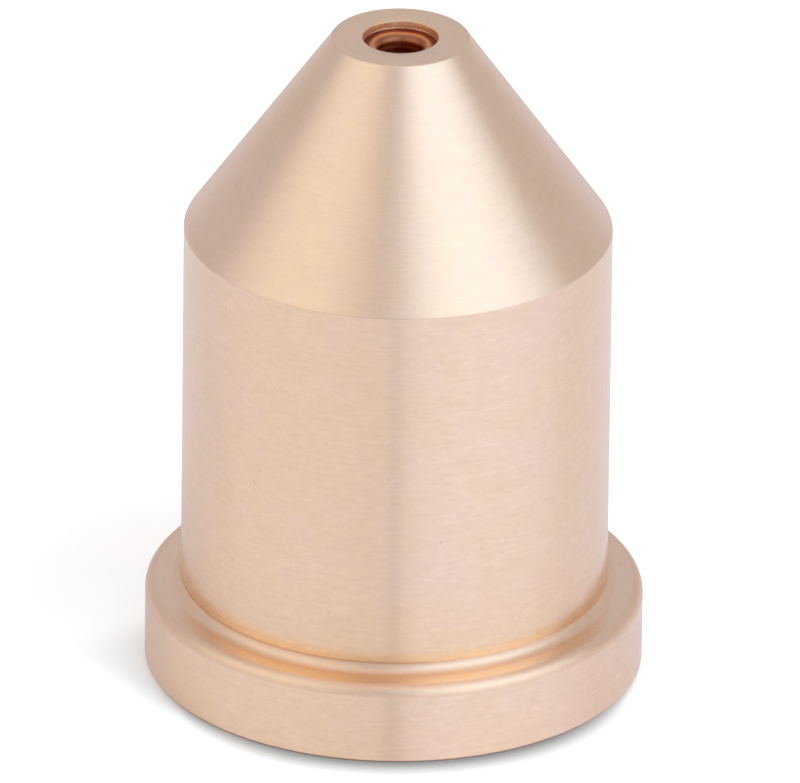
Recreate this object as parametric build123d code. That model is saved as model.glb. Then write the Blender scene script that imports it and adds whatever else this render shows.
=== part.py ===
from build123d import *

import os
from math import radians, tan

# A plasma torch nozzle, turned from one bar of copper.
#
# The nozzle stands on the flat face of its flange, nose up. From the outside it is a flange, a straight
# barrel, a conical nose and a small flat tip. From the base it is bored out in steps: a seat for the swirl
# ring, a chamber for the electrode, a funnel, and the arc orifice, which ends in a shallow counterbore in
# the tip.
#
# The origin is the centre of the base face, and +Z runs along the axis towards the tip. All sizes are in
# millimetres.

# Outside
barrel_diameter = 15.0
flange_width = 1.25          # how far the flange stands out past the barrel, all round
flange_thickness = 2.9
shoulder_height = 16.55      # base face to where the barrel ends and the nose begins
nose_half_angle = 35.0       # degrees, between the axis and the side of the nose
tip_diameter = 4.8

# Swirl ring seat, open at the base
seat_wall = 1.8              # the copper left between the seat and the outside of the barrel
seat_depth = 8.0

# Electrode chamber, with a funnel down to the orifice
chamber_step = 1.2           # the ledge between the seat and the chamber, where the swirl ring stops
funnel_drop = 0.35           # how far below the shoulder the funnel begins
funnel_half_angle = 45.0     # degrees, between the axis and the side of the funnel

# Arc orifice, and the counterbore at its exit
orifice_diameter = 1.5
exit_diameter = 2.64
exit_depth = 0.3

# Roundings and chamfers
foot_radius = 0.35           # in the corner between the barrel and the flange
flange_edge_radius = 0.4
shoulder_edge_radius = 0.15
base_edge_chamfer = 0.1
tip_edge_chamfer = 0.12
mouth_chamfer = 0.4          # where the seat opens at the base
seat_corner_radius = 0.2
chamber_mouth_chamfer = 0.25
funnel_blend_radius = 1.2    # between the chamber wall and the funnel
throat_radius = 0.4          # where the funnel runs into the orifice
orifice_lip_radius = 0.28    # where the orifice opens into the counterbore

# Radii and heights that follow from the sizes above
barrel_r = barrel_diameter / 2
flange_r = barrel_r + flange_width
tip_r = tip_diameter / 2
seat_r = barrel_r - seat_wall
chamber_r = seat_r - chamber_step
orifice_r = orifice_diameter / 2
exit_r = exit_diameter / 2
tip_height = shoulder_height + (barrel_r - tip_r) / tan(radians(nose_half_angle))
exit_floor_height = tip_height - exit_depth
funnel_height = shoulder_height - funnel_drop
throat_height = funnel_height + (chamber_r - orifice_r) / tan(radians(funnel_half_angle))

# The corners of the half section, as (radius, height), from the mouth round the outside to the seat
mouth = (seat_r, 0)
base_edge = (flange_r, 0)
flange_edge = (flange_r, flange_thickness)
foot = (barrel_r, flange_thickness)
shoulder = (barrel_r, shoulder_height)
tip_edge = (tip_r, tip_height)
exit_rim = (exit_r, tip_height)
exit_corner = (exit_r, exit_floor_height)
orifice_lip = (orifice_r, exit_floor_height)
throat = (orifice_r, throat_height)
funnel_start = (chamber_r, funnel_height)
chamber_mouth = (chamber_r, seat_depth)
seat_corner = (seat_r, seat_depth)


def at(section, place):
    """The section's corner that lies at a given (radius, height)."""
    return section.vertices().sort_by_distance(Vector(*place))[0]


def half_section():
    """The half section to the right of the axis, with its corners rounded or chamfered."""
    outline = Polyline(
        mouth, base_edge, flange_edge, foot, shoulder, tip_edge, exit_rim,
        exit_corner, orifice_lip, throat, funnel_start, chamber_mouth, seat_corner,
        close=True,
    )
    section = make_face(outline)
    rounded = [
        (flange_edge, flange_edge_radius),
        (foot, foot_radius),
        (shoulder, shoulder_edge_radius),
        (orifice_lip, orifice_lip_radius),
        (throat, throat_radius),
        (funnel_start, funnel_blend_radius),
        (seat_corner, seat_corner_radius),
    ]
    for place, radius in rounded:
        section = fillet(at(section, place), radius)
    chamfered = [
        (mouth, mouth_chamfer),
        (base_edge, base_edge_chamfer),
        (tip_edge, tip_edge_chamfer),
        (chamber_mouth, chamber_mouth_chamfer),
    ]
    for place, length in chamfered:
        section = chamfer(at(section, place), length)
    return section


def turned_nozzle():
    """The half section turned once round the axis."""
    return revolve(Plane.XZ * half_section(), axis=Axis.Z)


nozzle = turned_nozzle()
nozzle.label = "nozzle"

os.makedirs("parts", exist_ok=True)
export_step(nozzle, "parts/nozzle.step")

print("overall height", round(tip_height, 3), "mm")
print("orifice length", round(exit_floor_height - throat_height, 3), "mm")
print("volume", round(nozzle.volume, 1), "mm3")
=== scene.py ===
# %% [markdown]
# # A plasma torch nozzle, turned from copper
#
# The nozzle is a small copper part that wears out and is replaced. It is turned on a lathe from one bar,
# so it is round about one axis: a flange at the base, a straight barrel, a conical nose, and a small flat
# tip with the arc orifice in it. Inside it is bored out in steps for the parts that it works with.
#
# This lesson builds its looks around a fixed model of the part. That model is loaded first. It says where
# everything is, and it is never moved. Its box is measured, and the piece's sizes are read from it.

# %% Load the fixed model
from math import cos, pi, radians, sin, tan

import bmesh
import bpy
from mathutils import Matrix, Vector


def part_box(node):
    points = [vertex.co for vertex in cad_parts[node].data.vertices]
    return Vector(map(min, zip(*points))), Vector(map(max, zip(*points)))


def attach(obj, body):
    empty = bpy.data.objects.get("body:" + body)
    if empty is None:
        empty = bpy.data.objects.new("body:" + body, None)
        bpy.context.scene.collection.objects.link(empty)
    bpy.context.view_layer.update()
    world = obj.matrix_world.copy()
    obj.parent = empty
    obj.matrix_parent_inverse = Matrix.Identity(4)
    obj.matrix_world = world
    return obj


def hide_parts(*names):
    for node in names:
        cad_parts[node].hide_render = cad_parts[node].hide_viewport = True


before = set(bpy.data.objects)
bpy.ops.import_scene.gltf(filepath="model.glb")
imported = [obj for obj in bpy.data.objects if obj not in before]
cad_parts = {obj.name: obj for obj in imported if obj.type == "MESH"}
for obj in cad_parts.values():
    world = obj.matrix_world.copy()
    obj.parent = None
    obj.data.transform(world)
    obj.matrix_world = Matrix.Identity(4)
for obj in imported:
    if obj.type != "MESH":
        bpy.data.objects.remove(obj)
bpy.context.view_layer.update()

MM = 0.001

# %% [markdown]
# ## Sizes
#
# A turned part is described by a few diameters and heights, so those come first, each with a name.
# Blender works in metres, and a nozzle is easier to think about in millimetres, so every size is given as
# so many MM.
#
# The flange's outside radius and the overall height are read from the fixed model, and the rest is
# measured inwards from them. The model's facets reach a hair less far on one side than on another, and
# the smallest reach is taken. That way the piece can't grow out of the model's box.

# %% Sizes of the nozzle
node_low, node_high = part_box("nozzle")
FLANGE_R = min(node_high.x, node_high.y, -node_low.x, -node_low.y)
TIP_Z = node_high.z

BARREL_R = FLANGE_R - 1.25 * MM
TIP_R = 2.4 * MM
FLANGE_Z = 2.9 * MM
SHOULDER_Z = 16.55 * MM

SEAT_R = BARREL_R - 1.8 * MM
SEAT_Z = 8.0 * MM
CHAMBER_R = SEAT_R - 1.2 * MM
FUNNEL_Z = SHOULDER_Z - 0.35 * MM
ORIFICE_R = 0.75 * MM
THROAT_Z = FUNNEL_Z + CHAMBER_R - ORIFICE_R
EXIT_R = 1.32 * MM
EXIT_Z = TIP_Z - 0.3 * MM

NOSE_ANGLE = radians(35)
FUNNEL_ANGLE = radians(45)
SIDES = 256
print("flange", round(2 * FLANGE_R / MM, 2), "mm across, tip at", round(TIP_Z / MM, 3), "mm")

# %% [markdown]
# ## Choosing faces and edges in code
#
# By hand, a face or a ring of edges is clicked. In code it is chosen by its place: a face by the
# direction that it looks in, a ring of edges by its radius and its height. These helpers do that on the
# mesh that is open in edit mode. The operators that follow then work on what is chosen, exactly as they
# do by hand.

# %% Helpers that choose faces and rings
NEAR = 0.01 * MM
LOOKS_UP = 0.9


def edit_mesh():
    """The mesh that is open in edit mode."""
    return bmesh.from_edit_mesh(bpy.context.edit_object.data)


def show_choice():
    """Hands the choice that was made in code over to Blender."""
    bmesh.update_edit_mesh(bpy.context.edit_object.data)


def choose_faces(wanted):
    """Chooses the faces for which wanted(face) is true, and says how many there are."""
    bpy.ops.mesh.select_mode(type="FACE")
    bpy.ops.mesh.select_all(action="DESELECT")
    mesh = edit_mesh()
    chosen = [face for face in mesh.faces if wanted(face)]
    for face in chosen:
        face.select_set(True)
    show_choice()
    return len(chosen)


def on_ring(corner, radius, height):
    """Whether a corner of the mesh lies on the ring of that radius and height."""
    return abs(corner.co.xy.length - radius) < NEAR and abs(corner.co.z - height) < NEAR


def choose_rings(*rings):
    """Chooses the closed rings of edges at each (radius, height), and says how many edges they have."""
    bpy.ops.mesh.select_mode(type="EDGE")
    bpy.ops.mesh.select_all(action="DESELECT")
    mesh = edit_mesh()
    chosen = []
    for radius, height in rings:
        for edge in mesh.edges:
            if all(on_ring(corner, radius, height) for corner in edge.verts):
                chosen.append(edge)
    for edge in chosen:
        edge.select_set(True)
    show_choice()
    return len(chosen)


print("helpers ready: choose_faces and choose_rings")

# %% [markdown]
# ## The outside: flange, barrel and nose
#
# The real outside is cut in one setting of the lathe. In Blender the same shape could come from spinning
# a drawn half section, or from a cylinder that is pulled up step by step. The second way is used here,
# because each step then has the name of something on the real part: the flange is the cylinder, an inset
# leaves the flange's flat shoulder, one pull makes the barrel, and a pull that also shrinks makes the
# nose.
#
# Everything is deselected first, because the fixed model is still selected after loading.

# %% Pull the outside up from the flange
bpy.ops.object.select_all(action="DESELECT")
bpy.ops.mesh.primitive_cylinder_add(
    vertices=SIDES, radius=FLANGE_R, depth=FLANGE_Z, end_fill_type="NGON", location=(0, 0, FLANGE_Z / 2),
)
nozzle = bpy.context.active_object
nozzle.name = "turned_nozzle"
nozzle.data.name = "turned_nozzle"
bpy.ops.object.transform_apply(location=True, rotation=True, scale=True)
bpy.ops.object.mode_set(mode="EDIT")


def pull(rise):
    """Extrudes the chosen face straight up by rise, or down where rise is negative."""
    bpy.ops.mesh.extrude_region_move(TRANSFORM_OT_translate={"value": (0, 0, rise)})


def pull_cone(rise, old_radius, new_radius):
    """Extrudes the chosen round face by rise and resizes its far end, which leaves a cone behind it."""
    pull(rise)
    factor = new_radius / old_radius
    bpy.ops.transform.resize(value=(factor, factor, 1), center_override=(0, 0, 0))


choose_faces(lambda face: face.normal.z > LOOKS_UP)
bpy.ops.mesh.inset(thickness=FLANGE_R - BARREL_R)
pull(SHOULDER_Z - FLANGE_Z)
pull_cone(TIP_Z - SHOULDER_Z, BARREL_R, TIP_R)
print("outside:", len(edit_mesh().faces), "faces")

# %% [markdown]
# ## The bore: counterbore, orifice, funnel, chamber and seat
#
# The bore is drilled and turned from both ends. Here it is made from the tip downwards, with the same
# face that was last pulled. Two insets and two pulls sink the counterbore and the orifice. Then the face
# widens as it goes down, which makes the funnel, and goes straight on as the electrode chamber. Where the
# chamber meets the wider seat there is a flat ledge: it is an extrusion that isn't moved at all, only
# resized.

# %% Sink the bore from the tip to the base
bpy.ops.mesh.inset(thickness=TIP_R - EXIT_R)
pull(EXIT_Z - TIP_Z)
bpy.ops.mesh.inset(thickness=EXIT_R - ORIFICE_R)
pull(THROAT_Z - EXIT_Z)
pull_cone(FUNNEL_Z - THROAT_Z, ORIFICE_R, CHAMBER_R)
pull(SEAT_Z - FUNNEL_Z)
pull_cone(0, CHAMBER_R, SEAT_R)
pull(-SEAT_Z)
print("with the bore:", len(edit_mesh().faces), "faces")

# %% [markdown]
# ## Opening the base
#
# The moved face now lies in the base, inside the flange's own bottom face. Both are deleted, and the two
# rings that they leave are bridged. That gives the flat base ring that the nozzle stands on, and a closed
# skin all round. The faces are then turned to look outwards, which Blender can work out because the skin
# is closed.

# %% Open the base and close the skin
choose_faces(lambda face: len(face.verts) == SIDES)
bpy.ops.mesh.delete(type="ONLY_FACE")
choose_rings((FLANGE_R, 0), (SEAT_R, 0))
bpy.ops.mesh.bridge_edge_loops()
bpy.ops.mesh.select_all(action="SELECT")
bpy.ops.mesh.normals_make_consistent(inside=False)
print("base opened:", len(edit_mesh().faces), "faces, all with four corners")

# %% [markdown]
# ## Rounding the edges
#
# No edge of a turned part is perfectly sharp. The roundings matter more than their size suggests, because
# each of them catches a light as a fine bright line, and a metal part without them looks like a drawing.
# The orifice has a large one: its lip is rounded over, so that the gas leaves it without tearing at an
# edge.
#
# A bevel moves each side of the edge back by a distance. For a rounding of a given radius that distance
# is the radius times the tangent of half the angle that the surface turns by, so each ring is listed with
# its radius, the angle and the number of steps.

# %% Round every ring
SQUARE = radians(90)
ROUNDINGS = [
    ("flange edge", FLANGE_R, FLANGE_Z, 0.4, SQUARE, 10),
    ("foot of the barrel", BARREL_R, FLANGE_Z, 0.35, SQUARE, 10),
    ("shoulder", BARREL_R, SHOULDER_Z, 0.15, NOSE_ANGLE, 4),
    ("tip edge", TIP_R, TIP_Z, 0.06, SQUARE - NOSE_ANGLE, 3),
    ("counterbore rim", EXIT_R, TIP_Z, 0.02, SQUARE, 2),
    ("counterbore corner", EXIT_R, EXIT_Z, 0.07, SQUARE, 6),
    ("orifice lip", ORIFICE_R, EXIT_Z, 0.28, SQUARE, 12),
    ("throat", ORIFICE_R, THROAT_Z, 0.4, FUNNEL_ANGLE, 6),
    ("funnel blend", CHAMBER_R, FUNNEL_Z, 1.2, FUNNEL_ANGLE, 8),
    ("chamber mouth", CHAMBER_R, SEAT_Z, 0.25, SQUARE, 2),
    ("seat corner", SEAT_R, SEAT_Z, 0.2, SQUARE, 5),
    ("seat mouth", SEAT_R, 0, 0.4, SQUARE, 2),
    ("base edge", FLANGE_R, 0, 0.1, SQUARE, 2),
]
for title, radius, height, rounding, turn, steps in ROUNDINGS:
    edges = choose_rings((radius, height))
    setback = rounding * MM * tan(turn / 2)
    bpy.ops.mesh.bevel(offset_type="OFFSET", offset=setback, segments=steps, profile=0.5, affect="EDGES")
    print(f"{title}: {edges} edges rounded to {rounding} mm")

# %% [markdown]
# ## Smooth shading that keeps the flats flat
#
# With plain smooth shading, every corner of the mesh gets the average direction of its faces, and the
# flats near a rounding look dented. A Weighted Normal modifier gives the large faces the say instead. It
# is applied, so that the finished mesh carries those directions itself.

# %% Smooth shading
bpy.ops.mesh.select_all(action="SELECT")
bpy.ops.mesh.normals_make_consistent(inside=False)
bpy.ops.object.mode_set(mode="OBJECT")
bpy.ops.object.shade_smooth()
weighted = nozzle.modifiers.new("weighted_normals", "WEIGHTED_NORMAL")
weighted.weight = 100
bpy.ops.object.modifier_apply(modifier=weighted.name)
print("nozzle:", len(nozzle.data.polygons), "faces")

# %% [markdown]
# ## Building node trees in code
#
# By hand, nodes are added, given their settings and wired up one by one. These helpers do the same in one
# line each, so that a recipe further down reads as what it does to the surface.

# %% Helpers that build node trees
PER_MM = 1 / MM


def add_node(tree, kind, **settings):
    """Adds a node and gives it its settings."""
    made = tree.nodes.new(kind)
    for setting, value in settings.items():
        setattr(made, setting, value)
    return made


def feed(tree, socket, source):
    """Gives a socket its input: another node's output, or a plain value."""
    if isinstance(source, bpy.types.NodeSocket):
        tree.links.new(source, socket)
    else:
        socket.default_value = source


def calculate(tree, operation, *inputs):
    """A Math node, and its result."""
    made = add_node(tree, "ShaderNodeMath", operation=operation)
    for socket, source in zip(made.inputs, inputs):
        feed(tree, socket, source)
    return made.outputs["Value"]


def product(tree, *factors):
    """All the factors multiplied together."""
    result = factors[0]
    for factor in factors[1:]:
        result = calculate(tree, "MULTIPLY", result, factor)
    return result


def map_range(tree, value, low, high, to_low, to_high, smooth=False):
    """A Map Range node that takes low..high to to_low..to_high, and its result."""
    made = add_node(tree, "ShaderNodeMapRange", interpolation_type="SMOOTHSTEP" if smooth else "LINEAR")
    for name, source in (
        ("Value", value), ("From Min", low), ("From Max", high), ("To Min", to_low), ("To Max", to_high),
    ):
        feed(tree, made.inputs[name], source)
    return made.outputs["Result"]


def mix_colour(tree, factor, first, second, blend="MIX"):
    """A Mix node for colours, and its result."""
    made = add_node(tree, "ShaderNodeMix", data_type="RGBA", blend_type=blend)
    feed(tree, made.inputs["Factor"], factor)
    feed(tree, made.inputs["A"], first)
    feed(tree, made.inputs["B"], second)
    return made.outputs["Result"]


def noise(tree, place, scale, detail=2.0):
    """A Noise texture read at a place, and its value."""
    made = add_node(tree, "ShaderNodeTexNoise", noise_dimensions="3D")
    feed(tree, made.inputs["Vector"], place)
    feed(tree, made.inputs["Scale"], scale)
    feed(tree, made.inputs["Detail"], detail)
    return made.outputs[0]


print("helpers ready: add_node, feed, calculate, product, map_range, mix_colour and noise")

# %% [markdown]
# ## The finish: turned copper
#
# Bare copper is a metal, so its colour is the colour of its reflection. The tool leaves fine lines that
# run round the axis. They scatter light across themselves, along the nozzle, and hardly at all round it.
# That is why a softbox shows on the nose as a long bright streak from shoulder to tip.
#
# These things make the finish, with some painted shade and reflection among them:
#
# * anisotropy, which stretches each reflection across the lines. Its direction comes from a Tangent node
#   that runs round the axis, turned by a quarter;
# * the lines themselves, as a noise that is stretched a long way round the axis. It is read along a
#   coordinate that keeps changing wherever the tool goes: the height less the radius, which works on
#   walls, cones and flats alike;
# * short streaks and fine specks, where the lines break up, and soft cloudy patches from handling;
# * a few tiny nicks, found where a fine noise and a coarse noise are both at their highest;
# * painted shade in the mouth: a dark red ring in the corner of the counterbore, and a lip that gets darker
#   into the orifice. Painted reflection: an orange tinge low on the barrel, where it mirrors the flange.
#   Painted shade ends it: a thin dark line where the barrel meets the fillet. It is plainest on the left.

# %% Colours of the copper
COPPER_WARM = (0.935, 0.69, 0.50, 1)
COPPER_PINK = (0.930, 0.69, 0.535, 1)
# Painted reflection: the bore's copper is redder, and the orifice's deeper red, for light reflected many
# times inside.
COPPER_RED = (0.92, 0.58, 0.36, 1)
COPPER_DEEP_RED_REFLECTION = (0.85, 0.34, 0.15, 1)
# Painted reflection: the fillet and the flange's rounding are a little more orange for the copper that they
# mirror.
COPPER_EDGE_REFLECTED = (0.93, 0.66, 0.48, 1)
# Painted reflection: the flange's orange, mirrored low on the barrel.
COPPER_FLANGE_REFLECTION = (0.93, 0.64, 0.39, 1)
# Painted shade: the thin dark line where the barrel meets the fillet.
COPPER_FOOT_SHADE = (0.72, 0.44, 0.25, 1)
# Painted shade: the dark corner of the counterbore, and the lip that darkens into the orifice.
COPPER_CORNER_SHADE = (0.20, 0.035, 0.012, 1)
COPPER_LIP_SHADE = (0.34, 0.13, 0.065, 1)
print("clean copper lies between", COPPER_WARM[:3], "and", COPPER_PINK[:3])

# %% [markdown]
# ## How fine and how strong the marks are
#
# Each noise is given as so many waves to the millimetre. Nearly all of a noise lies between NOISE_LOW and
# NOISE_HIGH, so the shades and the roughness are spread over that range.

# %% Sizes of the marks
LINE_STRETCH = 0.12 * PER_MM
STREAK_ROUND = 1.6 * PER_MM
STREAK_ACROSS = 9.0 * PER_MM
SPECKS = 6.0 * PER_MM
PATCHES = 1.0 * PER_MM
BROAD = 0.22 * PER_MM
NICK_FINE = 5.0 * PER_MM
NICK_APART = 1.3 * PER_MM

NOISE_LOW, NOISE_HIGH = 0.3, 0.7
TINT_LOW, TINT_HIGH = 0.38, 0.62
HALF = 0.5
PATCH_SHADE, LINE_SHADE, STREAK_SHADE, SPECK_SHADE = 0.3, 0.4, 0.5, 0.35
PATCH_ROUGH = 0.6
QUARTER_TURN = 0.25

NICK_LEAST = 1.46
NICK_FADE = 0.04
NICK_DARK = 0.93
NICK_ROUGH = 0.1
NICK_DEPTH = 0.7
print("tool lines stretch about", round(PER_MM / LINE_STRETCH, 1), "mm round the axis")

# %% [markdown]
# ## Painted shade and reflection that lie at one place
#
# The painted shade in the mouth, the painted reflection low on the barrel and the painted shade at the
# foot of the barrel each have their own place on the part. Each function takes the colour so far and gives
# it back with its own mark of painted light added.

# %% Painted shade and reflection
# Painted shade in the mouth: where the dark corner ring and the darkening lip lie.
CORNER_SHADE_FROM = 0.98 * MM
CORNER_SHADE_FULL = 1.16 * MM
LIP_SHADE_FULL = 0.86 * MM
LIP_SHADE_FROM = 1.00 * MM
HOLE_EDGE = ORIFICE_R + 0.01 * MM
# Painted shade at the foot of the barrel: its height, its half width, and how it fades to the right.
FOOT_SHADE_Z = FLANGE_Z + 0.34 * MM
FOOT_SHADE_HALF = 0.07 * MM
FOOT_SHADE_RIGHT_END = 3.5 * MM
FOOT_SHADE_ON_RIGHT = 0.2
# Painted reflection of the flange low on the barrel: strong near the foot, faint higher up.
FLANGE_REFLECTION_FULL = FLANGE_Z + 0.55 * MM
FLANGE_REFLECTION_FROM = FLANGE_Z + 1.00 * MM
FLANGE_REFLECTION_TOP = FLANGE_Z + 3.60 * MM
FLANGE_REFLECTION_FAINT = 0.35


def add_mouth_shade(tree, colour, radius):
    """Adds painted shade by the radius: a dark ring in the counterbore's corner and a darker lip."""
    corner_shade = map_range(tree, radius, CORNER_SHADE_FROM, CORNER_SHADE_FULL, 0.0, 1.0, smooth=True)
    colour = mix_colour(tree, corner_shade, colour, COPPER_CORNER_SHADE)
    lip_shade = map_range(tree, radius, LIP_SHADE_FULL, LIP_SHADE_FROM, 1.0, 0.0, smooth=True)
    outside_hole = map_range(tree, radius, ORIFICE_R, HOLE_EDGE, 0.0, 1.0)
    return mix_colour(tree, product(tree, lip_shade, outside_hole), colour, COPPER_LIP_SHADE)


def add_flange_reflection(tree, colour, z):
    """Adds a painted reflection of the flange: an orange tinge low on the barrel, by the height."""
    near_foot = map_range(tree, z, FLANGE_REFLECTION_FULL, FLANGE_REFLECTION_FROM, 1.0, 0.0, smooth=True)
    higher = map_range(tree, z, FLANGE_REFLECTION_FULL, FLANGE_REFLECTION_TOP, FLANGE_REFLECTION_FAINT, 0.0, smooth=True)
    tinge = calculate(tree, "MAXIMUM", near_foot, higher)
    above_flange = calculate(tree, "GREATER_THAN", z, FLANGE_Z)
    return mix_colour(tree, product(tree, tinge, above_flange), colour, COPPER_FLANGE_REFLECTION)


def add_foot_shade(tree, colour, x, z):
    """Adds painted shade: a thin dark line at the foot of the barrel, which is plainest on the left."""
    off_foot_shade = calculate(tree, "ABSOLUTE", calculate(tree, "SUBTRACT", z, FOOT_SHADE_Z))
    line = map_range(tree, off_foot_shade, 0.0, FOOT_SHADE_HALF, 1.0, 0.0)
    to_the_left = map_range(tree, x, 0.0, FOOT_SHADE_RIGHT_END, 1.0, FOOT_SHADE_ON_RIGHT, smooth=True)
    return mix_colour(tree, product(tree, line, to_the_left), colour, COPPER_FOOT_SHADE)


print("the line lies at", round(FOOT_SHADE_Z / MM, 2), "mm and the tinge ends at", round(FLANGE_REFLECTION_TOP / MM, 2), "mm")

# %% [markdown]
# ## The recipe
#
# The recipe finds where a point lies, reads the noises there, and makes the colour, the roughness and the
# relief of them.

# %% The recipe for turned copper
def noise_along(tree, x, y, along, round_scale, along_scale, detail):
    """A noise with one scale round the axis and another along the cut."""
    spot = add_node(tree, "ShaderNodeCombineXYZ")
    feed(tree, spot.inputs[0], product(tree, x, round_scale))
    feed(tree, spot.inputs[1], product(tree, y, round_scale))
    feed(tree, spot.inputs[2], product(tree, along, along_scale))
    return noise(tree, spot.outputs[0], 1.0, detail=detail)


def spread(tree, value, middle, reach):
    """A noise's value, spread over reach on both sides of middle."""
    return map_range(tree, value, NOISE_LOW, NOISE_HIGH, middle - reach, middle + reach)


def turned_copper(
    name, roughness, anisotropy, line_pitch, line_depth, mottling, grain, nicks,
    tints=(COPPER_WARM, COPPER_PINK), mouth_shaded=False, flange_reflected=False, foot_shaded=False,
):
    """Copper with tool lines of a pitch and depth in mm, and so much mottling, grain and nicks."""
    material = bpy.data.materials.new(name)
    material.use_nodes = True
    tree = material.node_tree
    tree.nodes.clear()
    output = add_node(tree, "ShaderNodeOutputMaterial")
    metal = add_node(tree, "ShaderNodeBsdfPrincipled")
    tree.links.new(metal.outputs[0], output.inputs["Surface"])
    metal.inputs["Metallic"].default_value = 1
    metal.inputs["Anisotropic"].default_value = anisotropy
    metal.inputs["Anisotropic Rotation"].default_value = QUARTER_TURN
    tangent = add_node(tree, "ShaderNodeTangent", direction_type="RADIAL", axis="Z")
    tree.links.new(tangent.outputs[0], metal.inputs["Tangent"])

    # Where a point lies: its place, its distance from the axis, and how far along the cut it is
    place = add_node(tree, "ShaderNodeTexCoord").outputs["Object"]
    parts = add_node(tree, "ShaderNodeSeparateXYZ")
    tree.links.new(place, parts.inputs[0])
    x, y, z = parts.outputs
    squares = calculate(tree, "ADD", calculate(tree, "POWER", x, 2.0), calculate(tree, "POWER", y, 2.0))
    radius = calculate(tree, "SQRT", squares)
    along = calculate(tree, "SUBTRACT", z, radius)

    # The noises: the lines and the streaks follow the cut, and the rest are even
    lines = noise_along(tree, x, y, along, LINE_STRETCH, PER_MM / line_pitch, detail=3.0)
    streaks = noise_along(tree, x, y, along, STREAK_ROUND, STREAK_ACROSS, detail=2.0)
    specks = noise(tree, place, SPECKS, detail=2.0)
    patches = noise(tree, place, PATCHES, detail=3.0)
    broad = noise(tree, place, BROAD, detail=1.0)
    nick_fine = noise(tree, place, NICK_FINE, detail=1.0)
    nick_where = noise(tree, place, NICK_APART, detail=0.0)
    nick_sum = calculate(tree, "ADD", nick_fine, nick_where)
    nick_full = NICK_LEAST + NICK_FADE - nicks
    nick = map_range(tree, nick_sum, NICK_LEAST - nicks, nick_full, 0.0, 1.0, smooth=True)

    # The colour, with the painted shade and reflection that a finish asks for
    blend = calculate(tree, "ADD", product(tree, broad, HALF), product(tree, patches, HALF))
    tint = map_range(tree, blend, TINT_LOW, TINT_HIGH, 0.0, 1.0, smooth=True)
    colour = mix_colour(tree, tint, *tints)
    if mouth_shaded:
        colour = add_mouth_shade(tree, colour, radius)
    if flange_reflected:
        colour = add_flange_reflection(tree, colour, z)
    if foot_shaded:
        colour = add_foot_shade(tree, colour, x, z)
    shade = product(
        tree,
        spread(tree, patches, 1, PATCH_SHADE * mottling),
        spread(tree, lines, 1, LINE_SHADE * mottling),
        spread(tree, streaks, 1, STREAK_SHADE * grain),
        spread(tree, specks, 1, SPECK_SHADE * grain),
        map_range(tree, nick, 0.0, 1.0, 1.0, NICK_DARK),
    )
    tree.links.new(mix_colour(tree, 1.0, colour, shade, blend="MULTIPLY"), metal.inputs["Base Color"])

    # The roughness, which the patches, the lines and the nicks change a little
    rough = spread(tree, patches, roughness, PATCH_ROUGH * mottling)
    rough = calculate(tree, "ADD", rough, spread(tree, lines, 0, mottling))
    rough = calculate(tree, "ADD", rough, product(tree, nick, NICK_ROUGH))
    tree.links.new(rough, metal.inputs["Roughness"])

    # The relief
    height = calculate(tree, "SUBTRACT", lines, product(tree, nick, NICK_DEPTH))
    bump = add_node(tree, "ShaderNodeBump")
    bump.inputs["Strength"].default_value = 1
    bump.inputs["Distance"].default_value = line_depth * MM
    tree.links.new(height, bump.inputs["Height"])
    tree.links.new(bump.outputs[0], metal.inputs["Normal"])
    return material


print("the recipe is ready")

# %% [markdown]
# ## Giving each surface its finish
#
# The surfaces aren't all alike. The nose is cut finest, and the barrel, with the flange's side, has lines
# that can be seen. The flats are faced smooth. Inside, the bore is turned roughly, and its colour is
# painted redder for the light that is reflected there many times. The counterbore's wall is rougher than
# the outside. Its floor and the orifice are as the drill left them, and painted deep red for the same
# reflections. The fillet at the foot of the barrel and the flange's rounding are rougher, and painted a
# little more orange for the copper that they mirror.

# %% The seven finishes
# Painted reflection: red inside the bore, deep red in the orifice.
RED = (COPPER_RED, COPPER_RED)
# Painted reflection: orange for the copper that the fillet and the rounding mirror.
ORANGE_REFLECTED = (COPPER_EDGE_REFLECTED, COPPER_EDGE_REFLECTED)
DEEP_RED_REFLECTION = (COPPER_DEEP_RED_REFLECTION, COPPER_DEEP_RED_REFLECTION)
FINISHES = [
    turned_copper(
        "copper_turned_barrel", roughness=0.23, anisotropy=0.75, line_pitch=0.11, line_depth=0.0014,
        mottling=0.045, grain=0.07, nicks=-0.01, flange_reflected=True, foot_shaded=True,
    ),
    turned_copper(
        "copper_fine_nose", roughness=0.34, anisotropy=0.80, line_pitch=0.08, line_depth=0.0008,
        mottling=0.025, grain=0.05, nicks=-0.04,
    ),
    turned_copper(
        "copper_faced_flats", roughness=0.28, anisotropy=0.60, line_pitch=0.10, line_depth=0.0004,
        mottling=0.012, grain=0.02, nicks=-0.04,
    ),
    turned_copper(
        "copper_rounded_edges", roughness=0.36, anisotropy=0.80, line_pitch=0.10, line_depth=0.0010,
        mottling=0.030, grain=0.05, nicks=-0.04, tints=ORANGE_REFLECTED, foot_shaded=True,
    ),
    turned_copper(
        "copper_bored_inside", roughness=0.24, anisotropy=0.40, line_pitch=0.12, line_depth=0.0030,
        mottling=0.040, grain=0.05, nicks=0.02, tints=RED,
    ),
    turned_copper(
        "copper_counterbore_wall", roughness=0.40, anisotropy=0.20, line_pitch=0.05, line_depth=0.0030,
        mottling=0.140, grain=0.30, nicks=-0.04, tints=RED,
    ),
    turned_copper(
        "copper_orifice_painted_red", roughness=0.28, anisotropy=0.20, line_pitch=0.12, line_depth=0.0020,
        mottling=0.140, grain=0.20, nicks=0.0, tints=DEEP_RED_REFLECTION, mouth_shaded=True,
    ),
]
BARREL, NOSE, FLATS, EDGES, BORE, COUNTERBORE, ORIFICE = range(len(FINISHES))
for finish in FINISHES:
    nozzle.data.materials.append(finish)
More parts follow.
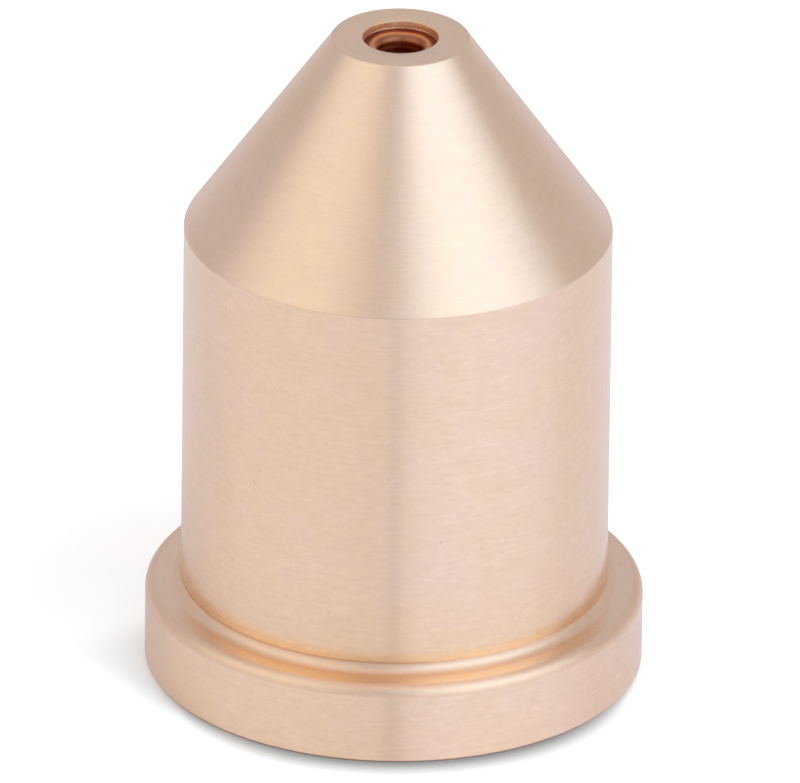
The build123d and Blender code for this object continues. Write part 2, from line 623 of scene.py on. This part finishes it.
print("finishes:", [finish.name for finish in FINISHES])

# %% [markdown]
# ## Which finish each face gets
#
# Every face of the mesh is put in one of the seven, by its place and by the direction that it faces. A
# face that faces the axis is inside the bore.

# %% Put each face in its finish
FILLET_TOP = FLANGE_Z + 0.35 * MM
ROUNDING_LEAST = sin(radians(4))
FLAT_LEAST = cos(radians(10))


def finish_of(face):
    """Which finish a face gets."""
    across = face.center.xy.length
    inwards = face.normal.x * face.center.x + face.normal.y * face.center.y < 0
    if across < EXIT_R - NEAR and face.center.z > FUNNEL_Z:
        return ORIFICE
    if across < TIP_R and inwards and face.center.z > EXIT_Z:
        return COUNTERBORE
    if inwards and across < SEAT_R + MM:
        return BORE
    if abs(face.normal.z) > FLAT_LEAST:
        return FLATS
    if face.center.z < FILLET_TOP and (face.center.z > FLANGE_Z or face.normal.z > ROUNDING_LEAST):
        return EDGES
    return NOSE if face.center.z > SHOULDER_Z else BARREL


for face in nozzle.data.polygons:
    face.material_index = finish_of(face)
used = [face.material_index for face in nozzle.data.polygons]
print("faces with each finish:", [used.count(index) for index in range(len(FINISHES))])

# %% Place the piece in the model
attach(nozzle, "root")
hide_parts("nozzle")
print("the piece stands for the node nozzle")

# %% [markdown]
# ## The floor
#
# The nozzle stands on a white sweep, which a photographer lights until it is just white. The floor is a
# matt plane with a little gloss, and it does three jobs:
#
# * to the lamps it is plain and pale;
# * to the metal it has its own tint, because the barrel shows nothing but the floor: warmer on the left,
#   where the weaker and warmer softbox lights it. One narrow strip in front is darker. It is where the
#   camera stands between the softboxes, and it shows as a fine seam down the middle of the barrel;
# * the camera sees it lifted, so that open floor is white and the shadow stays. The lift is cooler close
#   to the nozzle, against the copper light that falls there. Close to the flange the floor is darkened,
#   by Ambient Occlusion nodes that measure how much of the light is kept out there: dark and narrow in
#   front, faint and wider on the left.
#
# From below it is clear, so a camera that looks up sees the nozzle and not the floor.

# %% Colours and sizes of the floor
FLOOR_SIDE = 3.0
FLOOR_PALE = 0.92
FLOOR_IN_METAL_LEFT = (0.93, 0.91, 0.92, 1)
FLOOR_IN_METAL_RIGHT = (0.97, 0.95, 1.00, 1)
FLOOR_SEEN_NEAR = (1.42, 1.43, 1.41, 1)
FLOOR_SEEN_LEFT = (1.36, 1.43, 1.47, 1)
FLOOR_SEEN_FAR = (1.35, 1.375, 1.375, 1)
LEFT_SHARE = (-0.85, -0.55)
NEAR_REACH = 9.5 * MM
FAR_REACH = 13.5 * MM
FLOOR_GLOSS = 0.15
FLOOR_ROUGHNESS = 0.12

SEAM_SHADE = 0.87
SEAM_INNER = radians(0.5)
SEAM_OUTER = radians(5.0)
TINT_SPREAD = sin(radians(15))
print("the seam is", round(2 * SEAM_OUTER, 2), "radians wide")

# %% [markdown]
# ## The floor's plane
#
# The plane gets a node tree of its own. A Light Path node says who is looking. The floor's own
# coordinates say how far from the nozzle a point lies, and their direction says on which side.

# %% Lay the floor
bpy.ops.object.select_all(action="DESELECT")
bpy.ops.mesh.primitive_plane_add(size=FLOOR_SIDE, location=(0, 0, 0))
floor = bpy.context.active_object
floor.name = "floor"
sweep = bpy.data.materials.new("white_sweep")
sweep.use_nodes = True
tree = sweep.node_tree
tree.nodes.clear()
light_path = add_node(tree, "ShaderNodeLightPath")
by_camera = light_path.outputs["Is Camera Ray"]
by_metal = light_path.outputs["Is Glossy Ray"]
place = add_node(tree, "ShaderNodeTexCoord").outputs["Object"]
outward = add_node(tree, "ShaderNodeVectorMath", operation="NORMALIZE")
tree.links.new(place, outward.inputs[0])
print("floor", FLOOR_SIDE, "m square")

# %% [markdown]
# ## What the metal sees of the floor
#
# There are two tints, one on each side, and the seam, which is a narrow wedge of floor in front.

# %% The floor in the metal
parts = add_node(tree, "ShaderNodeSeparateXYZ")
tree.links.new(outward.outputs["Vector"], parts.inputs[0])
azimuth = calculate(tree, "ARCTAN2", parts.outputs[0], product(tree, parts.outputs[1], -1.0))
off_seam = calculate(tree, "ABSOLUTE", azimuth)
seam = map_range(tree, off_seam, SEAM_INNER, SEAM_OUTER, SEAM_SHADE, 1.0, smooth=True)
side = map_range(tree, parts.outputs[0], -TINT_SPREAD, TINT_SPREAD, 0.0, 1.0, smooth=True)
metal_sees = mix_colour(tree, side, FLOOR_IN_METAL_LEFT, FLOOR_IN_METAL_RIGHT)
metal_sees = mix_colour(tree, 1.0, metal_sees, seam, blend="MULTIPLY")
print("in the metal the floor goes from", FLOOR_IN_METAL_LEFT[:3], "to", FLOOR_IN_METAL_RIGHT[:3])

# %% [markdown]
# ## The contact shadow
#
# An Ambient Occlusion node says how open the space above a point is, up to a reach. The darkening is at
# its full depth where the space is as closed as CLOSED_AT. It is strongest on one side of the nozzle, and
# its reach is longest there too.

# %% Darken the floor close to the flange
FRONT_REACH = (0.4 * MM, 1.6 * MM)
FRONT_DEPTH = 0.75
FRONT_SIDE = radians(6)
FRONT_SPREAD = (0.0, 0.95)
LEFT_REACH = (1.6 * MM, 3.8 * MM)
LEFT_DEPTH = 0.20
LEFT_SIDE = radians(-72)
LEFT_SPREAD = (0.80, 0.99)
CLOSED_AT = 0.55
LONGER_FROM = 0.5
OPENNESS_SAMPLES = 16


def contact_shade(reach, depth, azimuth, spread):
    """How much light is left near the flange on one side, where things within reach keep light out."""
    towards_side = add_node(tree, "ShaderNodeVectorMath", operation="DOT_PRODUCT")
    tree.links.new(outward.outputs["Vector"], towards_side.inputs[0])
    feed(tree, towards_side.inputs[1], (sin(azimuth), -cos(azimuth), 0))
    least, most = spread
    strength = map_range(tree, towards_side.outputs["Value"], least, most, 0.0, 1.0, smooth=True)
    openness = add_node(tree, "ShaderNodeAmbientOcclusion", samples=OPENNESS_SAMPLES)
    feed(tree, openness.inputs["Distance"], map_range(tree, strength, LONGER_FROM, 1.0, *reach))
    closed = map_range(tree, openness.outputs["AO"], CLOSED_AT, 1.0, depth, 0.0)
    return calculate(tree, "SUBTRACT", 1.0, product(tree, strength, closed))


in_front = contact_shade(FRONT_REACH, FRONT_DEPTH, FRONT_SIDE, FRONT_SPREAD)
on_the_left = contact_shade(LEFT_REACH, LEFT_DEPTH, LEFT_SIDE, LEFT_SPREAD)
contact = product(tree, in_front, on_the_left)
print("contact shadow: up to", FRONT_DEPTH, "in front and", LEFT_DEPTH, "on the left")

# %% [markdown]
# ## What the camera sees of the floor
#
# The lift has one colour near the nozzle, another near it on the left, and a third further out.

# %% The floor in the picture
distance = add_node(tree, "ShaderNodeVectorMath", operation="LENGTH")
tree.links.new(place, distance.inputs[0])
far = map_range(tree, distance.outputs["Value"], NEAR_REACH, FAR_REACH, 0.0, 1.0, smooth=True)
off_left = map_range(tree, parts.outputs[0], *LEFT_SHARE, 0.0, 1.0, smooth=True)
camera_sees = mix_colour(tree, off_left, FLOOR_SEEN_LEFT, FLOOR_SEEN_NEAR)
camera_sees = mix_colour(tree, far, camera_sees, FLOOR_SEEN_FAR)
camera_sees = mix_colour(tree, 1.0, camera_sees, contact, blend="MULTIPLY")
print("for the camera the floor is lifted to", FLOOR_SEEN_FAR[:3])

# %% [markdown]
# ## The floor's shader
#
# The colours meet here: plain for the lamps, tinted for the metal, lifted for the camera. The gloss is
# there for the metal alone.

# %% The floor's shader
pale = (FLOOR_PALE, FLOOR_PALE, FLOOR_PALE, 1)
colour = mix_colour(tree, by_metal, pale, metal_sees)
colour = mix_colour(tree, by_camera, colour, camera_sees)
matt = add_node(tree, "ShaderNodeBsdfDiffuse")
tree.links.new(colour, matt.inputs["Color"])
gloss = add_node(tree, "ShaderNodeBsdfGlossy")
gloss.inputs["Roughness"].default_value = FLOOR_ROUGHNESS
glossy = add_node(tree, "ShaderNodeMixShader")
feed(tree, glossy.inputs["Fac"], product(tree, by_metal, FLOOR_GLOSS))
tree.links.new(matt.outputs[0], glossy.inputs[1])
tree.links.new(gloss.outputs[0], glossy.inputs[2])
clear = add_node(tree, "ShaderNodeBsdfTransparent")
facing = add_node(tree, "ShaderNodeNewGeometry")
from_below = add_node(tree, "ShaderNodeMixShader")
tree.links.new(facing.outputs["Backfacing"], from_below.inputs["Fac"])
tree.links.new(glossy.outputs[0], from_below.inputs[1])
tree.links.new(clear.outputs[0], from_below.inputs[2])
output = add_node(tree, "ShaderNodeOutputMaterial")
tree.links.new(from_below.outputs[0], output.inputs["Surface"])
floor.data.materials.append(sweep)
print("floor finished:", floor.name)

# %% [markdown]
# ## The studio
#
# Metal shows the room that it is in, so the room is part of the finish. The walls are a plain pale grey,
# a little darker near the floor and paler overhead. Is Camera Ray and Is Transmission Ray make the
# backdrop white without adding any light.

# %% Walls of the studio
WALLS = (0.60, 0.59, 0.615, 1)
CEILING = (0.86, 0.83, 0.82, 1)
OVERHEAD_FROM, OVERHEAD_FULL = 0.75, 0.97
LOW_SHADE = 0.93
LOW_TOP = 0.4
WHITE = (1, 1, 1, 1)

world = bpy.context.scene.world or bpy.data.worlds.new("studio")
bpy.context.scene.world = world
world.use_nodes = True
tree = world.node_tree
tree.nodes.clear()
direction = add_node(tree, "ShaderNodeTexCoord").outputs["Generated"]
parts = add_node(tree, "ShaderNodeSeparateXYZ")
tree.links.new(direction, parts.inputs[0])
upwards = parts.outputs[2]
overhead = map_range(tree, upwards, OVERHEAD_FROM, OVERHEAD_FULL, 0.0, 1.0, smooth=True)
room = mix_colour(tree, overhead, WALLS, CEILING)
low = map_range(tree, upwards, 0.0, LOW_TOP, LOW_SHADE, 1.0, smooth=True)
room = mix_colour(tree, 1.0, room, low, blend="MULTIPLY")
light_path = add_node(tree, "ShaderNodeLightPath")
by_camera = light_path.outputs["Is Camera Ray"]
seen = calculate(tree, "MAXIMUM", by_camera, light_path.outputs["Is Transmission Ray"])
backdrop = mix_colour(tree, seen, room, WHITE)
background = add_node(tree, "ShaderNodeBackground")
tree.links.new(backdrop, background.inputs["Color"])
output = add_node(tree, "ShaderNodeOutputWorld")
tree.links.new(background.outputs[0], output.inputs["Surface"])
print("walls of the studio at", WALLS[:3])

# %% [markdown]
# ## The softboxes
#
# A real softbox is brightest in the middle and fades towards its sides, and each lamp here does that too.
# Without it, its reflection on the nose would have hard sides. Its full glow fills the middle up to
# FULL_GLOW of the way out.

# %% How a softbox is made
LAMP_DISTANCE = 0.6
FULL_GLOW = 0.15


def from_nozzle(azimuth, elevation):
    """The direction from the nozzle at so many degrees right of the camera and above the floor."""
    across, up = radians(azimuth), radians(elevation)
    return Vector((sin(across) * cos(up), -cos(across) * cos(up), sin(up)))


def softbox(name, azimuth, elevation, width, height, brightness, colour):
    """A softbox that looks at the nozzle, so many degrees wide and high, brightest in its middle."""
    outward = from_nozzle(azimuth, elevation)
    middle = outward * LAMP_DISTANCE
    turn = outward.to_track_quat("Z", "Y")
    wide = 2 * LAMP_DISTANCE * tan(radians(width / 2))
    high = 2 * LAMP_DISTANCE * tan(radians(height / 2))
    light = bpy.data.lights.new(name, "AREA")
    light.shape = "RECTANGLE"
    light.size = wide
    light.size_y = high
    light.energy = brightness * pi * wide * high
    light.color = colour
    light.use_nodes = True
    tree = light.node_tree
    tree.nodes.clear()
    where = add_node(tree, "ShaderNodeNewGeometry").outputs["Position"]
    offset = add_node(tree, "ShaderNodeVectorMath", operation="SUBTRACT")
    feed(tree, offset.inputs[0], where)
    feed(tree, offset.inputs[1], middle)
    squares = []
    for axis, reach in ((turn @ Vector((1, 0, 0)), wide / 2), (turn @ Vector((0, 1, 0)), high / 2)):
        share = add_node(tree, "ShaderNodeVectorMath", operation="DOT_PRODUCT")
        tree.links.new(offset.outputs["Vector"], share.inputs[0])
        feed(tree, share.inputs[1], axis / reach)
        squares.append(product(tree, share.outputs["Value"], share.outputs["Value"]))
    from_middle = calculate(tree, "SQRT", calculate(tree, "ADD", *squares))
    glow = add_node(tree, "ShaderNodeEmission")
    feed(tree, glow.inputs["Strength"], map_range(tree, from_middle, FULL_GLOW, 1.0, 1.0, 0.0, smooth=True))
    output = add_node(tree, "ShaderNodeOutputLight")
    tree.links.new(glow.outputs[0], output.inputs["Surface"])
    lamp = bpy.data.objects.new(name, light)
    bpy.context.scene.collection.objects.link(lamp)
    lamp.matrix_world = Matrix.Translation(middle) @ turn.to_matrix().to_4x4()
    lamp.visible_camera = False
    print(f"{name}: {wide:.2f} x {high:.2f} m at {azimuth} degrees, {light.energy:.2f} W")
    return lamp


print("lamps stand", LAMP_DISTANCE, "m away")

# %% [markdown]
# ## Three lamps
#
# A large softbox stands to the right of the camera, and a weaker one to the left. The third lamp is
# smaller, and stands higher, in front on the right. It throws the shadow whose edge runs to the left from
# the flange. It lights the floor alone: the metal doesn't show it.

# %% Place the lamps
softbox(
    "right_softbox", azimuth=48, elevation=33, width=109, height=84,
    brightness=0.935, colour=(0.73, 1.0, 1.24),
)
softbox(
    "left_softbox", azimuth=-63, elevation=34, width=100, height=76,
    brightness=0.47, colour=(0.96, 0.97, 0.80),
)
shadow_lamp = softbox(
    "front_right_lamp", azimuth=52, elevation=60, width=10, height=28,
    brightness=11.5, colour=(1.0, 1.0, 1.0),
)
shadow_lamp.visible_glossy = False

# %% [markdown]
# ## The camera's own dark side
#
# Between the softboxes stands the camera, and it is darker there. The metal shows that in front: the
# fillet, the rounding and the flange's flat are darker in the middle than at either side. A sheet with
# soft edges stands for it. It is dark in its middle and clear at its rim, and only reflections see it.

# %% The dark sheet
SHEET_DISTANCE = 0.5
SHEET_SIDE = 0.32
SHEET_RISE = 25
SHEET_DARK = 0.32
SHEET_FULL = 0.1 * SHEET_SIDE
SHEET_EDGE = 0.5 * SHEET_SIDE
SHEET_COLOUR = (0.02, 0.02, 0.02, 1)

outward = from_nozzle(0, SHEET_RISE)
bpy.ops.object.select_all(action="DESELECT")
bpy.ops.mesh.primitive_plane_add(size=SHEET_SIDE)
sheet = bpy.context.active_object
sheet.name = "dark_sheet"
turn = outward.to_track_quat("Z", "Y")
sheet.matrix_world = Matrix.Translation(outward * SHEET_DISTANCE) @ turn.to_matrix().to_4x4()
shade = bpy.data.materials.new("dark_sheet")
shade.use_nodes = True
tree = shade.node_tree
tree.nodes.clear()
reach = add_node(tree, "ShaderNodeVectorMath", operation="LENGTH")
tree.links.new(add_node(tree, "ShaderNodeTexCoord").outputs["Object"], reach.inputs[0])
cover = map_range(tree, reach.outputs["Value"], SHEET_FULL, SHEET_EDGE, SHEET_DARK, 0.0, smooth=True)
dark = add_node(tree, "ShaderNodeEmission")
feed(tree, dark.inputs["Color"], SHEET_COLOUR)
clear = add_node(tree, "ShaderNodeBsdfTransparent")
sheer = add_node(tree, "ShaderNodeMixShader")
feed(tree, sheer.inputs["Fac"], cover)
tree.links.new(clear.outputs[0], sheer.inputs[1])
tree.links.new(dark.outputs[0], sheer.inputs[2])
output = add_node(tree, "ShaderNodeOutputMaterial")
tree.links.new(sheer.outputs[0], output.inputs["Surface"])
sheet.data.materials.append(shade)
sheet.visible_camera = False
sheet.visible_diffuse = False
sheet.visible_shadow = False
sheet.visible_transmission = False
print("dark sheet", SHEET_SIDE, "m square")

# %% [markdown]
# ## The camera
#
# The picture was taken from about 26 degrees above the floor, from a long way off for so small a part, so
# its upright lines stay nearly parallel. The camera looks a little above the middle of the base, and is
# turned very slightly about its own axis. Its place and lens follow from the distance and from how large
# a millimetre is in the picture.

# %% The camera
PICTURE_WIDTH = 800
SENSOR_WIDTH = 36.0
CAMERA_RISE = radians(26.399)
CAMERA_TILT = radians(-0.684)
CAMERA_DISTANCE = 0.862
PIXELS_PER_MM = 28.409
AIM_RIGHT = 3.68
AIM_UP = 259.54
CLIP_NEAR = 0.1
CLIP_FAR = 10

focal_pixels = PIXELS_PER_MM * CAMERA_DISTANCE / MM
right = Vector((1, 0, 0))
upward = Vector((0, sin(CAMERA_RISE), cos(CAMERA_RISE)))
towards = Vector((0, cos(CAMERA_RISE), -sin(CAMERA_RISE)))
aim = (towards + right * AIM_RIGHT / focal_pixels + upward * AIM_UP / focal_pixels).normalized()
level_right = right * cos(CAMERA_TILT) - upward * sin(CAMERA_TILT)
camera_x = (level_right - aim * level_right.dot(aim)).normalized()
camera_y = camera_x.cross(aim)

camera_data = bpy.data.cameras.new("camera")
camera_data.sensor_width = SENSOR_WIDTH
camera_data.lens = focal_pixels * SENSOR_WIDTH / PICTURE_WIDTH
camera_data.clip_start = CLIP_NEAR
camera_data.clip_end = CLIP_FAR
camera = bpy.data.objects.new("camera", camera_data)
bpy.context.scene.collection.objects.link(camera)
axes = Matrix((camera_x, camera_y, -aim)).transposed().to_4x4()
camera.matrix_world = Matrix.Translation(-towards * CAMERA_DISTANCE) @ axes
bpy.context.scene.camera = camera
bpy.context.scene.view_settings.view_transform = "Standard"
print("camera", CAMERA_DISTANCE, "m away with a lens of", round(camera_data.lens), "mm")
